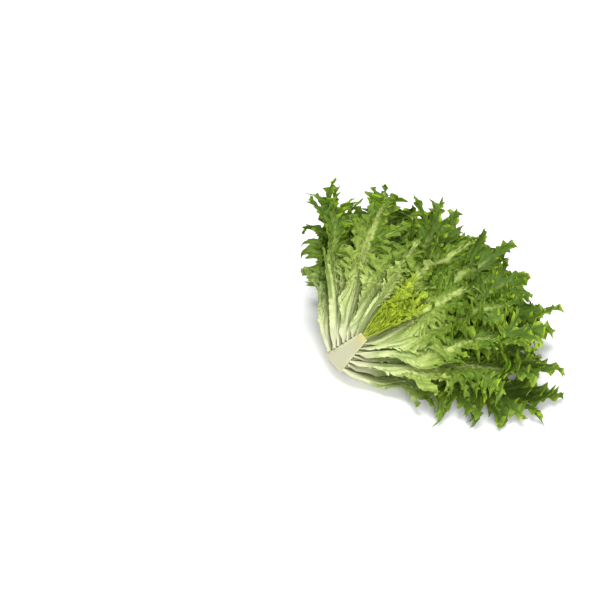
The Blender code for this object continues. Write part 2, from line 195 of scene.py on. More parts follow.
SHARP_FROM, CORE_SHARP_FROM = math.radians(70.0), math.radians(50.0)

# What is added to the frills' seed for each kind of detail
TONE_SEED, HOOK_SEED, LIP_SEED, WANDER_SEED = 300, 400, 550, 600
SUBLOBE_SEED, TOOTH_SEED, LOBE_SEED, CURL_SEED = 0, 5000, 7000, 9000

# The numbers that a leaf's material reads at each point, beside its flat place and its tone
LEAF_MAPS = ("off_vein", "ring", "distance", "under", "column")

# The looks of the large leaves and of the heart: colours from root to rim, where they change, and how much
# light comes through. margin is partly the margins' paler green and partly painted highlight, and rim also
# colours painted shade in blotches
LEAF_LOOK = dict(
    root=(0.60, 0.65, 0.33), rib=(0.50, 0.62, 0.14), blade=(0.092, 0.176, 0.005), rim=(0.030, 0.086, 0.004),
    margin=(0.44, 0.62, 0.026), glow=(0.28, 0.44, 0.008),
    rib_width=0.0080, root_to=0.132, rim_from=0.63, through=0.20, cream=0.75,
)
HEART_LOOK = dict(
    root=(0.68, 0.70, 0.20), rib=(0.54, 0.62, 0.10), blade=(0.44, 0.54, 0.030), rim=(0.12, 0.21, 0.010),
    margin=(0.74, 0.84, 0.09), glow=(0.66, 0.78, 0.03),
    rib_width=0.0012, root_to=0.062, rim_from=0.42, through=0.22, cream=0.0,
)
TONES, INNER_TONE, HEART_TONE = (-0.7, 0.7), -0.4, 0.3
STEM_CREAM, PALE_UNDER = (0.58, 0.57, 0.40), (0.38, 0.50, 0.10)

# Noise on leaves: its scale and detail where it is even, its stretch where it runs lengthwise, and how far
# apart leaves of different tone lie in it
# SHADE_BLOTCHES is the noise of the painted shade in dark green blotches
PATCHES, CELLS, SHADE_BLOTCHES = (45.0, 3.0), (260.0, 2.0), (230.0, 2.0)
FIBRES, STREAKS = (900.0, 30.0), (520.0, 18.0)
TONE_SPREAD, NOISE_ROUGHNESS = 40.0, 0.55

# Veins: the midrib's width at the core, its loss a metre and its end, in shares of rib_width, and finer veins
RIB_BASE, RIB_LOSS, RIB_END, LEAST_RIB = 1.35, 5.6, 0.12, 0.0004
LOBE_VEIN, LEAST_VEIN = 0.0022, 0.0003
VEINS_A_METRE, VEIN_WOBBLE = 210.0, 0.012
FINE_VEINS, VEINS_SHOW = 0.45, 0.30

# The core's colours: flesh at its foot and at its top, patches, browned edge, growing point and outside
CORE_FLESH, CORE_TOP, CORE_PATCH = (0.36, 0.36, 0.24), (0.36, 0.34, 0.15), (0.39, 0.39, 0.27)
CORE_BROWN, CORE_GROWING, CORE_OUTSIDE = (0.62, 0.44, 0.28), (0.66, 0.50, 0.12), (0.49, 0.53, 0.28)

# The table and the lights. A light has its place, its size and its power in watts
FLOOR_REACH, FLOOR_WHITE = 6.0, (0.93, 0.93, 0.93)
LIGHTS = {"top": ((-0.06, 0.06, 1.55), 0.9, 28.0), "front": ((0.1, -1.35, 0.85), 0.8, 19.0)}
LIGHTS_AIM = (0.0, 0.0, 0.05)
WORLD_STRENGTH = 0.42

# The photograph's frame: its scale, the view's height over the table and the core's foot in it
PIXEL = 0.0011
VIEW_HEIGHT = math.radians(42.0)
FOOT_RIGHT, FOOT_BELOW = 33.0, 63.5
LENS, SENSOR = 100.0, 36.0
IMAGE_PIXELS = 600


def smooth_step(x):
    """0 below 0 and 1 above 1, with a smooth rise between."""
    x = np.clip(x, 0.0, 1.0)
    return x * x * (3.0 - 2.0 * x)


def rise(x, start, over):
    """0 below start and 1 above start + over, with a smooth rise between."""
    return smooth_step((x - start) / over)


def between(outer, inner, inwards):
    """A size that goes from the outermost leaf's to the innermost's."""
    return outer + (inner - outer) * inwards


def unit(vectors, least=1e-9):
    """Vectors of length 1, but for those too short to have a direction."""
    return vectors / np.maximum(np.linalg.norm(vectors, axis=-1, keepdims=True), least)


def frill_chance(kind, number):
    """The source of one kind of chance detail of leaf number."""
    return np.random.default_rng(FRILL_SEED + kind + number)


def head_axes():
    """The head's own directions: along its core, sideways in the cut, and out of the cut."""
    rim = np.array([math.cos(RIM_TURN), math.sin(RIM_TURN), 0.0])
    front = np.array([rim[1], -rim[0], 0.0])
    up = np.array([0.0, 0.0, 1.0])
    out = math.cos(CUT_TILT) * up + math.sin(CUT_TILT) * front
    climb = math.sin(CUT_TILT) * up - math.cos(CUT_TILT) * front
    along = math.cos(AXIS_TURN) * rim + math.sin(AXIS_TURN) * climb
    side = -math.sin(AXIS_TURN) * rim + math.cos(AXIS_TURN) * climb
    return along, side, out


ALONG, SIDE, OUT = head_axes()


def core_radius(height):
    """The core's radius at a height above its foot."""
    share = np.clip(height / CORE_LENGTH, 0.0, 1.0) ** CORE_TAPER
    return CORE_FOOT_RADIUS + (CORE_TOP_RADIUS - CORE_FOOT_RADIUS) * share


def bowl_share(distance):
    """0 beside the core, where sheets are round, and 1 further out, where they form a shallow bowl."""
    return rise(distance, ROUND_NEAR, BOWL_FROM - ROUND_NEAR)


def sweep_length(turn, distance):
    """Length along a sheet's cross-section of radius 1, from its middle to a turn of -1 to 1."""
    slope = 2.0 * BOWL_DEPTH * turn
    bowl = (slope * np.sqrt(1.0 + slope**2) + np.arcsinh(slope)) / (4.0 * BOWL_DEPTH)
    share = bowl_share(distance)
    return (1.0 - share) * 0.5 * math.pi * turn + share * bowl


def turn_at(length, distance):
    """The turn at which sweep_length reaches this length, found in a few steps along its slope."""
    turn = length.copy()
    share = bowl_share(distance)
    for _ in range(6):
        rate = (1.0 - share) * 0.5 * math.pi + share * np.sqrt(1.0 + (2.0 * BOWL_DEPTH * turn) ** 2)
        turn -= (sweep_length(turn, distance) - length) / rate
    return turn


def bend(points):
    """Points moved by slow waves that all the leaves share."""
    turned = points * (math.tau / BEND_LENGTH)
    x, y, z = turned[..., 0], turned[..., 1], turned[..., 2]
    reach = np.linalg.norm(points - HEAD, axis=-1)
    swing = BEND_HEIGHT * rise(reach, BEND_FROM, BEND_OVER)
    waves = (
        np.sin(0.9 * y + 0.5 * z + 0.4) + 0.5 * np.sin(1.7 * z - 0.6 * y + 2.0),
        np.sin(0.8 * z + 0.6 * x + 1.3) + 0.5 * np.sin(1.6 * x + 0.5 * z + 0.7),
        np.sin(0.9 * x - 0.5 * y + 2.6) + 0.5 * np.sin(1.5 * y + 0.7 * x + 4.1),
    )
    return points + 0.6 * swing[..., None] * np.stack(waves, axis=-1)


def press(points, distance):
    """Low points, raised in the order they lie, as the head's weight presses its leaves on the table."""
    height = points[..., 2]
    room = PRESS_FROM - PRESS_DEPTH
    low = PRESS_DEPTH + room * np.exp(np.minimum(height - PRESS_FROM, 0.0) / room)
    share = rise(distance, PRESS_BEYOND, PRESS_BEYOND)
    pressed = points.copy()
    pressed[..., 2] += share * (low - np.minimum(height, PRESS_FROM))
    return pressed


def sheet_points(distance, turn, opening):
    """Points at a distance from the core's foot, on the sheet that opens by this angle."""
    share = bowl_share(distance)
    across = (1.0 - share) * np.sin(0.5 * math.pi * turn) + share * turn
    behind = (1.0 - share) * np.cos(0.5 * math.pi * turn) + share * BOWL_DEPTH * (1.0 - turn**2)
    way = (
        np.cos(opening)[..., None] * ALONG
        + (np.sin(opening) * across)[..., None] * SIDE
        - (np.sin(opening) * behind)[..., None] * OUT
    )
    way /= np.linalg.norm(way, axis=-1, keepdims=True)
    return press(bend(HEAD + distance[..., None] * way), distance)


def spiral_turn(number):
    """The direction, round the core, in which leaf number grows: 0 is the middle of the half's back."""
    return (FIRST_TURN + number * GOLDEN_ANGLE + math.pi) % math.tau - math.pi


def lobe_draws(chance, lobes):
    """Each lobe's shift round the edge and its size, drawn by chance."""
    return {
        "lobe_shifts": chance.uniform(-LOBE_SHIFT, LOBE_SHIFT, lobes + 1),
        "lobe_sizes": chance.uniform(*LOBE_SIZES, lobes),
    }


def leaf_plan(number):
    """Where leaf number grows and how large it is. Leaves are numbered from the outermost in."""
    chance = np.random.default_rng(SEED + 100 * number)
    inwards = number / (HEAD_LEAVES - 1)
    azimuth = spiral_turn(number)
    root = between(*ROOT, inwards)
    radius = core_radius(root) + CORE_GAP
    size = 1.0 - rise(inwards, SHORTER_FROM, SHORTER_OVER)
    reach = INNER_REACH + (REACH - INNER_REACH) * size
    reach *= 1.0 + SIDE_GROWTH * math.sin(azimuth) + BACK_GROWTH * math.cos(azimuth)
    reach += REACH_SPREAD * chance.uniform(-1.0, 1.0)
    start = math.hypot(radius, root)
    # The leaves at the half's lower edge
    low = azimuth < LOW_TURN and number < LOW_LEAVES
    return {
        "number": number,
        "inwards": inwards,
        "azimuth": azimuth,
        "start": start,
        "root_opening": math.atan2(radius, root),
        "opening": between(*OPEN, inwards) + SPLAY * math.exp(-number / SPLAY_LEAVES),
        "length": reach - start,
        "width": between(*BLADE_WIDTH, inwards),
        "petiole": between(*PETIOLE_WIDTH, inwards),
        "rib": between(*RIB_THICKNESS, inwards),
        "cup": between(*CUP, inwards),
        "sway": SWAY * chance.uniform(-1.0, 1.0),
        "frill": between(1.0, INNER_FRILL, inwards),
        "plain": (WISPS_FROM + (SMOOTH_LOW if low else 0.0), WISPS_OVER),
        "wander": WANDER * frill_chance(WANDER_SEED, number).uniform(-1.0, 1.0),
        "lips": (0.0, 0.0),
        "lip_wave": frill_chance(LIP_SEED, number).uniform(*LIP_WAVE),
        "flesh": between(*FLESH, inwards),
        "fleshy": between(*FLESHY_TO, inwards),
        "hook": HOOK * frill_chance(HOOK_SEED, number).uniform(-1.0, 1.0),
        **lobe_draws(chance, LOBES),
    }


def heart_plan(number):
    """Where blade number of the heart grows, from the outermost in. It continues the leaves' spiral."""
    plan = leaf_plan(HEAD_LEAVES - 1)
    chance = np.random.default_rng(HEART_SEED + 100 * number)
    inwards = number / (HEART_BLADES - 1)
    root = CORE_LENGTH + CORE_GAP + between(0.0, BUD_RISE, inwards)
    radius = between(BUD_RADIUS, BUD_TIP * BUD_RADIUS, inwards) - BUD_SUNK
    start = math.hypot(radius, root)
    reach = between(*HEART_REACH, inwards)
    reach += HEART_REACH_SPREAD * chance.uniform(-1.0, 1.0)
    plan.update(
        number=HEAD_LEAVES + number,
        inwards=inwards,
        azimuth=spiral_turn(HEAD_LEAVES + number),
        start=start,
        root_opening=math.atan2(radius, root),
        opening=between(*HEART_OPEN, inwards),
        length=reach - start,
        width=HEART_BLADE_WIDTH,
        petiole=HEART_PETIOLE_WIDTH,
        rib=HEART_RIB_THICKNESS,
        cup=HEART_CUP,
        plain=(HEART_WISPS_FROM, HEART_WISPS_OVER),
        flesh=0.0,
        wander=0.0,
        hook=HEART_HOOK * chance.uniform(0.2, 1.0),
        frill=HEART_FRILL,
        **lobe_draws(chance, HEART_LOBES),
    )
    return plan


def half_width(plan, height):
    """The leaf's half-width at a height from its root, before it narrows to its tip. Height is a share."""
    spread = rise(height, WING_FROM, WIDEST_AT - WING_FROM) ** WING_RISE
    return 0.5 * (plan["petiole"] + (plan["width"] - plan["petiole"]) * spread)


def outline(plan, ends):
    """Half-width and height of the leaf's smooth edge. ends is 0 at the tip and 1 at the root."""
    height = np.linspace(0.0, 1.0, OUTLINE_POINTS)
    half = half_width(plan, height)
    half = half * np.sqrt(1.0 - (np.maximum(height - WIDEST_AT, 0.0) / (1.0 - WIDEST_AT)) ** 2)
    tall = height * plan["length"]
    run = np.concatenate([[0.0], np.cumsum(np.hypot(np.diff(half), np.diff(tall)))])
    share = 1.0 - run / run[-1]
    return np.interp(ends, share[::-1], half[::-1]), np.interp(ends, share[::-1], tall[::-1])


def opening_at(plan, distance):
    """The opening of the leaf's sheet at a distance from the core's foot."""
    settled = np.exp(-(distance - plan["start"]) / SETTLE_LENGTH)
    return plan["opening"] + (plan["root_opening"] - plan["opening"]) * settled


def midrib_length(plan, distance):
    """Where the midrib runs, as a length along the cross-section of radius 1."""
    share = np.clip((distance - plan["start"]) / plan["length"], 0.0, 1.0)
    sway = plan["sway"] * np.sin(math.pi * share**1.3)
    return sweep_length((plan["azimuth"] + sway) / (0.5 * math.pi), distance)


def kept_width(plan, width, distance):
    """Half-widths as the knife and the leaf's neighbours leave them. The left side's are negative."""
    radius = distance * np.sin(opening_at(plan, distance))
    middle = midrib_length(plan, distance)
    rim = sweep_length(RIM_LIMIT, distance)
    room = np.maximum(np.where(width > 0.0, rim - middle, rim + middle) * radius, LEAST_CUT_SIDE)
    room = np.minimum(room, SPAN * sweep_length(1.0, distance) * radius)
    share = np.abs(width) / room
    pressed = FREE_WIDTH + PRESSED_WIDTH * np.tanh((share - FREE_WIDTH) / PRESSED_WIDTH)
    share = np.where(share < FREE_WIDTH, share, pressed)
    return np.sign(width) * share * room


def smooth_edge(plan, places):
    """At places round the edge: the column's foot on the midrib and its end on the smooth edge."""
    ends = np.abs(places)
    half, tall = outline(plan, ends)
    foot = RIB_REACH * plan["length"] * (1.0 - ends) ** LOBE_RISE
    feet = np.stack([np.zeros_like(foot), foot], axis=-1)
    return feet, np.stack([np.sign(places) * half, tall], axis=-1)


def notch_depth(places):
    """How far out the notches reach, as a share of the way from midrib to edge."""
    ends = np.abs(places)
    lower = rise(ends, LOW_FROM, LOW_OVER)
    near_tip = rise(TIP_CUT_TO, ends, TIP_CUT_TO)
    return 1.0 - DEEP_CUT * (1.0 - TIP_CUT * near_tip) * (1.0 - lower)


def fine_lobes(plan):
    """The fine lobes into which the leaf's lobes are split: their notches, sizes and how short each falls.

    Notches are places round the leaf's edge, from -1 to 1 by way of its tip at 0.
    """
    even = np.linspace(-LOBE_ENDS, LOBE_ENDS, len(plan["lobe_sizes"]) + 1)
    notches = even + plan["lobe_shifts"] * (even[1] - even[0])
    middle = len(plan["lobe_sizes"]) // 2
    notches[[middle, middle + 1]] *= END_LOBE
    chance = frill_chance(LOBE_SEED, plan["number"])
    splits = chance.uniform(size=middle + 1) < SPLIT_SHARE
    bounds, sizes = [notches[0]], []
    for index, size in enumerate(plan["lobe_sizes"]):
        low = abs(index - middle) / middle
        in_three = low > SPLIT_BEYOND or 0.0 < low < SPLIT_TO and splits[abs(index - middle)]
        parts = 1 + int(low > 0.0) + int(in_three)
        for part in range(parts):
            bounds.append(notches[index] + (notches[index + 1] - notches[index]) * (part + 1) / parts)
            sizes.append(size * chance.uniform(*FINE_LOBE_SIZES))
    drops = chance.uniform(0.0, 1.0, len(sizes))
    drops[len(sizes) // 2] = 0.0
    return np.array(bounds), np.array(sizes), drops


def lobe_frame(plan, notches, sizes, drops, index):
    """One lobe laid flat: its base, the ways along and across it, its length, and its two notches."""
    here = np.array([notches[index], 0.5 * (notches[index] + notches[index + 1]), notches[index + 1]])
    if index == len(sizes) // 2:
        here[1] = 0.0
    feet, ends = smooth_edge(plan, here)
    depth = notch_depth(here)
    lower = float(rise(abs(here[1]), LOW_FROM, LOW_OVER))
    high = float(rise(ends[1][1], *plan["plain"]))
    jut = between(LOBE_JUT, between(LEAST_WISP, LOW_WISP, high), lower) * sizes[index]
    first, last = (feet[side] + (ends[side] - feet[side]) * depth[side] for side in (0, 2))
    base = feet[1] + (ends[1] - feet[1]) * 0.5 * (depth[0] + depth[2])
    tip = feet[1] + (ends[1] - feet[1]) * (1.0 + jut) * (1.0 - DROPPED * (1.0 - lower) * drops[index])
    length = float(np.linalg.norm(tip - base))
    along = (tip - base) / length
    across = (last - first) - np.dot(last - first, along) * along
    half = 0.5 * float(np.linalg.norm(across))
    return {
        "base": base, "along": along, "across": across / (2.0 * half), "length": length, "half": half,
        "first": first - base, "last": last - base, "lower": lower, "places": here[[0, 2]],
    }


def lobe_columns(lobe, shares):
    """Columns of one lobe at shares 0 to 1 from notch to notch: places, margin points and heights in it."""
    up = 1.0 - np.abs(2.0 * shares - 1.0)
    first = shares < 0.5
    corner = np.where(first[:, None], lobe["first"], lobe["last"])
    sign = np.where(first, -1.0, 1.0)
    fall = between(CORNER_FALL, LOW_CORNER_FALL, lobe["lower"])
    wide = between(LOBE_BELLY * lobe["half"], min(WISP_HALF, lobe["half"]), lobe["lower"])
    bulge = (1.0 - (1.0 - up) ** 2.5) * (1.0 - up) ** 0.8 * wide
    margin = lobe["base"] + lobe["along"] * (lobe["length"] * up)[:, None]
    margin = margin + corner * ((1.0 - up) ** fall)[:, None] + lobe["across"] * (sign * bulge)[:, None]
    places = lobe["places"][0] + (lobe["places"][1] - lobe["places"][0]) * shares
    return places, margin, up


def by_column(frames, key, lobe_of):
    """One value of each column's lobe."""
    return np.array([frame[key] for frame in frames])[lobe_of]


def column_list(plan, step):
    """Every column of the leaf, from the root's one corner round the tip to the other, as arrays."""
    notches, sizes, drops = fine_lobes(plan)
    last = len(sizes) - 1
    middle = len(sizes) // 2
    frames = [lobe_frame(plan, notches, sizes, drops, index) for index in range(len(sizes))]
    rows = {"places": [], "margin": [], "up": [], "lobe": [], "toward": []}

    def add(places, margin, up, lobe, toward):
        lobes = np.full(len(places), lobe)
        for row, values in zip(rows.values(), (places, margin, up, lobes, toward)):
            row.append(values)

    def add_plain(places, lobe, toward):
        add(places, smooth_edge(plan, places)[1], np.zeros(len(places)), lobe, np.full(len(places), toward))

    add_plain(np.linspace(-1.0, frames[0]["places"][0], PLAIN_COLUMNS, endpoint=False), 0, 1.0)
    for index, lobe in enumerate(frames):
        # Lobes opposite each other have the same number of columns
        left, right = frames[min(index, last - index)], frames[max(index, last - index)]
        pair = 0.5 * (left["length"] + right["length"])
        count = max(LEAST_COLUMNS, round(2.0 * (pair + 0.3 * left["half"]) / step))
        if index < middle:
            shares = np.arange(count) / count
        elif index == middle:
            shares = np.linspace(0.0, 1.0, 2 * (count // 2) + 1)
        else:
            shares = (np.arange(count) + 1.0) / count
        add(*lobe_columns(lobe, shares), index, np.where(shares < 0.5, 1.0, -1.0))
    add_plain(np.linspace(1.0, frames[-1]["places"][1], PLAIN_COLUMNS, endpoint=False)[::-1], last, -1.0)
    return frames, {key: np.concatenate(values) for key, values in rows.items()}


def small_lobes(plan, run, side, step, seed):
    """For small lobes along the margin: the phase, which rises by 1 for each, and their sizes."""
    chance = frill_chance(seed, 10 * plan["number"] + side)
    count = max(LEAST_SMALL, round(run[-1] / step))
    lengths = chance.uniform(*SMALL_LENGTHS, count)
    bounds = np.concatenate([[0.0], np.cumsum(lengths)]) * run[-1] / lengths.sum()
    phase = np.interp(run, bounds, np.arange(count + 1))
    size = np.interp(phase, np.arange(count) + 0.5, chance.uniform(*SMALL_SIZES, count))
    return phase, size


def tooth_shape(phase, toward):
    """A row of pointed teeth, each leaning towards its lobe's tip: 0 between teeth, 1 at their points."""
    share = phase - np.floor(phase)
    peak = 0.5 + TOOTH_PEAK * toward
    return np.where(share < peak, share / peak, (1.0 - share) / (1.0 - peak))


def margin_detail(plan, columns):
    """Small lobes and teeth along the margin: how far each column's end juts out, and how it folds."""
    count = len(columns["places"])
    middle = count // 2
    jut, fold = np.zeros(count), np.zeros(count)
    sizes = (
        (SUBLOBE_SEED, SUBLOBE_LENGTH, SUBLOBE_JUT, FOLD_HEIGHT),
        (TOOTH_SEED, TOOTH_LENGTH, TOOTH_JUT, CRIMP_HEIGHT),
    )
    for side, here in ((0, np.arange(0, middle + 1)), (1, np.arange(count - 1, middle - 1, -1))):
        steps = np.linalg.norm(np.diff(columns["margin"][here], axis=0), axis=1)
        run = np.concatenate([[0.0], np.cumsum(steps)])
        toward = columns["toward"][here] * (1.0 - 2.0 * side)
        own_jut, own_fold = 0.0, 0.0
        for seed, length, reach, height in sizes:
            phase, size = small_lobes(plan, run, side, length * plan["frill"], seed)
            own_jut = own_jut + reach * size * tooth_shape(phase, toward)
            own_fold = own_fold + height * size * np.sin(math.pi * phase)
        jut[here], fold[here] = own_jut, own_fold
    return jut, fold


def curled(flat, lobe_of, frames, plan):
    """Flat points with each lobe bent along its length and twisted about its vein, and their heights."""
    chance = frill_chance(CURL_SEED, plan["number"])
    count = len(frames)
    signs = np.where(chance.uniform(size=count) < TWIST_ALIKE, 1.0, -1.0)
    # Left and right lobes twist alike when seen from the root
    signs = signs * np.where(np.arange(count) < count // 2, 1.0, -1.0)
    twists = signs * chance.uniform(*LOBE_TWIST, count)
    curls = chance.uniform(*LOBE_CURL, count) * np.where(chance.uniform(size=count) < DROOPING, -1.0, 1.0)
    calm = 1.0 - WISP_CALM * np.array([frame["lower"] for frame in frames])
    curls, twists = curls * calm, twists * calm
    curls[count // 2] *= END_CURL
    twists[count // 2] *= END_TWIST

    base, along, across = (by_column(frames, key, lobe_of)[:, None] for key in ("base", "along", "across"))
    past = np.sum((flat - base) * along, axis=-1)
    off = np.sum((flat - base) * across, axis=-1)
    reach = np.maximum(past, 0.0) / by_column(frames, "length", lobe_of)[:, None]
    turn = curls[lobe_of][:, None] * reach
    bent = np.where(past > 0.0, past * np.sinc(turn / math.pi), past)
    height = np.maximum(past, 0.0) * 0.5 * turn * np.sinc(turn / math.tau) ** 2
    twist = twists[lobe_of][:, None] * smooth_step(reach * 1.3)
    height = height + off * np.sin(twist)
    moved = base + along * bent[..., None] + across * (off * np.cos(twist))[..., None]
    return moved, height, np.abs(off)


def kept_share(plan, places, smooth):
    """The share of its width that each column keeps where the knife or a neighbour narrows the leaf."""
    kept = kept_width(plan, smooth[:, 0], plan["start"] + smooth[:, 1])
    share = np.minimum(np.abs(kept) / np.maximum(np.abs(smooth[:, 0]), 1e-9), 1.0)
    share[np.abs(places) < TIP_COLUMNS] = 1.0
    near = 2 * SIDE_BLUR + 1
    padded = np.pad(share, SIDE_BLUR, mode="edge")
    return 0.5 * (share + np.convolve(padded, np.ones(near) / near, mode="valid"))


def flat_leaf(plan, step, rings):
    """The leaf before its sheet bends it: its columns' places, and its grids of heights, cup and maps."""
    frames, columns = column_list(plan, step)
    places, margin, up, lobe_of = (columns[key] for key in ("places", "margin", "up", "lobe"))
    lobes = (by_column(frames, key, lobe_of) for key in ("base", "along", "length", "lower"))
    base, along, length, lower = lobes
    feet, smooth = smooth_edge(plan, places)
    feet[:, 1] = 0.5 * (feet[:, 1] + feet[::-1, 1])
    left = kept_share(plan, places, smooth)

    # The margin, smooth beside the root and toothed further out
    jut, fold = margin_detail(plan, columns)
    rough = smooth_step((smooth[:, 1] - 0.6 * plan["plain"][0]) / plan["plain"][1])
    margin = margin + (smooth - margin) * (1.0 - smooth_step(3.0 * rough))[:, None]
    fade = rough * left * plan["frill"]
    tangent = unit(np.gradient(margin, axis=0))
    outwards = np.stack([-tangent[:, 1], tangent[:, 0]], axis=1)
    juts = jut * fade * (0.3 + 0.7 * smooth_step(up * 3.0)) * (1.0 - 0.75 * lower)
    ends = margin + (outwards + TOOTH_LEAN * along) * juts[:, None]

    # Each column runs from the midrib by way of its lobe's vein to the margin
    on_vein = base + along * (0.8 * length * up)[:, None]
    share = smooth_step(2.5 * up)[:, None]
    control = (1.0 - share) * 0.5 * (feet + ends) + share * on_vein
    ring = np.array(rings)[None, :, None]
    flat = (1.0 - ring) ** 2 * feet[:, None] + 2.0 * ring * (1.0 - ring) * control[:, None]
    flat = flat + ring**2 * ends[:, None]

    # Lobes curl and twist, the margin folds, and the blade puckers between its veins
    moved, height, off_vein = curled(flat, lobe_of, frames, plan)
    keep, ring = fade[:, None], ring[..., 0]
    moved = flat + (moved - flat) * keep[..., None]
    height = height * keep + (fold * fade * (1.0 - 0.8 * lower))[:, None] * ring**3
    across, high = flat[..., 0], flat[..., 1]
    puckers = np.sin(math.tau * high / PUCKER_LONG + PUCKER_LEAN * across + plan["number"])
    puckers = puckers * np.sin(math.tau * across / PUCKER_WIDE + 2.0 * plan["number"])
    height = height + PUCKER * puckers * keep * (1.0 - lower)[:, None] * smooth_step(3.0 * ring)
    cup = plan["cup"] * np.minimum(np.abs(across) / (0.5 * plan["width"]), 1.0) ** 2 * left[:, None]
    x, y = moved[..., 0] * left[:, None], np.maximum(moved[..., 1], 0.0)
    x[:, 0] = 0.0
    maps = {
        "x": x,
        "y": y,
        "off_vein": off_vein,
        "column": np.linalg.norm(flat - feet[:, None], axis=-1),
        "ring": np.repeat(ring, len(places), axis=0),
        "distance": plan["start"] + y,
    }
    return places, height, cup, maps


def lip_lift(plan, places, maps, turn):
    """How far the leaf's fleshy edges turn outwards beside the cut, unevenly, to show their broad side."""
    x, y, distance = maps["x"], maps["y"], maps["distance"]
    edge = np.abs(kept_width(plan, np.sign(places)[:, None] * half_width(plan, y / plan["length"]), distance))
    out = (np.abs(x) / np.maximum(edge, 0.001) - LIP_FROM) / (1.0 - LIP_FROM)
    lip_to, size = (np.where(places < 0.0, *pair)[:, None] for pair in (LIP_TO, plan["lips"]))
    lip = np.clip(out, 0.0, MOST_BENT) ** LIP_BEND
    lip = lip * rise(np.abs(turn), LIP_TURN_FROM, LIP_TURN_OVER)
    lip = lip * rise(lip_to, distance, LIP_FADE) * size
    uneven = 1.0 + LIP_UNEVEN * np.sin(np.sign(x) * 2.0 + plan["number"] + math.tau * y / plan["lip_wave"])
    return lip * uneven * smooth_step(y / LIP_RISE)


def leaf_surface(plan, step, rings):
    """The leaf's inner face as a grid of points on its sheet, the ways out of the head, and its maps."""
    places, height, cup, maps = flat_leaf(plan, step, rings)
    x, y, distance = maps["x"], maps["y"], maps["distance"]
    height = height + plan["hook"] * rise(y / plan["length"], HOOK_FROM, HOOK_OVER)
    lift = (cup + height / distance) * smooth_step(y / LIFT_FROM)
    opening = opening_at(plan, distance)
    wander = plan["wander"] * np.sin(math.tau * y / WANDER_LENGTH + plan["number"])
    across = x + wander * smooth_step(y / WANDER_FROM)
    turn = turn_at(midrib_length(plan, distance) + across / (distance * np.sin(opening)), distance)
    lift = lift - lip_lift(plan, places, maps, turn)
    points = sheet_points(distance, turn, opening - lift)
    points[:, 0] = 0.5 * (points[:, 0] + points[::-1, 0])
    outwards = unit(sheet_points(distance, turn, opening - lift + 0.03) - points)
    return points, outwards, maps


def edge_turn(plan, side):
    """How near the cut the leaf's left or right edge comes, at the distance where the lips are fitted."""
    distance = np.array([LIPS_MEET])
    half = side * half_width(plan, (distance - plan["start"]) / plan["length"])
    radius = distance * np.sin(opening_at(plan, distance))
    length = midrib_length(plan, distance) + kept_width(plan, half, distance) / radius
    return side * float(turn_at(length, distance)[0])


def fit_lips(plans):
    """Give each leaf's two edges the lips that reach to the next leaf out beside the cut."""
    for side, spot in ((-1.0, 0), (1.0, 1)):
        beside = [plan for plan in plans if edge_turn(plan, side) > LIP_NEAR_CUT]
        beside.sort(key=lambda plan: -plan["opening"])
        for outer, plan in zip([None] + beside, beside):
            lip = OUTER_LIP if outer is None else outer["opening"] - plan["opening"]
            lips = list(plan["lips"])
            lips[spot] = min(lip, MOST_LIP)
            plan["lips"] = tuple(lips)


def grid_normals(points):
    """Unit normals of a grid of points, pointing away from the head's axis."""
    normals = np.cross(np.gradient(points, axis=1), np.gradient(points, axis=0))
    # At the midrib the two sides of the leaf share their normals
    normals[:, 0] = normals[:, 1] + normals[::-1, 1]
    return unit(normals, 1e-12)


def thickness_at(plan, maps):
    """The leaf's thickness: fleshy near its root, with a stout midrib that thins towards the tip."""
    share = maps["y"] / plan["length"]
    stout = (0.7 + 0.3 * smooth_step(share / 0.2)) * (1.0 - 0.93 * rise(share, 0.2, 0.65))
    wide = 0.5 * plan["petiole"] * (1.3 - smooth_step(share / 0.8))
    rib = stout * np.exp(-((maps["x"] / wide) ** 4))
    vein = VEIN_THICKNESS * stout * np.exp(-((maps["off_vein"] / VEIN_WIDTH) ** 2)) * (1.0 - maps["ring"])
    fleshy = rise(plan["fleshy"], maps["distance"], FLESHY_OVER)
    flesh = plan["flesh"] * (smooth_step((maps["y"] + 0.003) / 0.012) * fleshy)
    flesh = flesh * (1.0 - 0.6 * rise(maps["ring"], 0.88, 0.12))
    return BLADE_THICKNESS + np.maximum((plan["rib"] - BLADE_THICKNESS) * np.maximum(rib, vein), flesh)


def keep_near(points):
    """Bend back what reaches far out of the half's box, but for its underside."""
    for axis, sign, limit in ((0, -1.0, 0), (0, 1.0, 1), (1, -1.0, 0), (1, 1.0, 1), (2, 1.0, 1)):
        edge = sign * CAD_BOX[limit][axis]
        beyond = np.maximum(sign * points[..., axis] - edge, 0.0)
        points[..., axis] += sign * (REACH_PAST * np.tanh(beyond / REACH_PAST) - beyond)


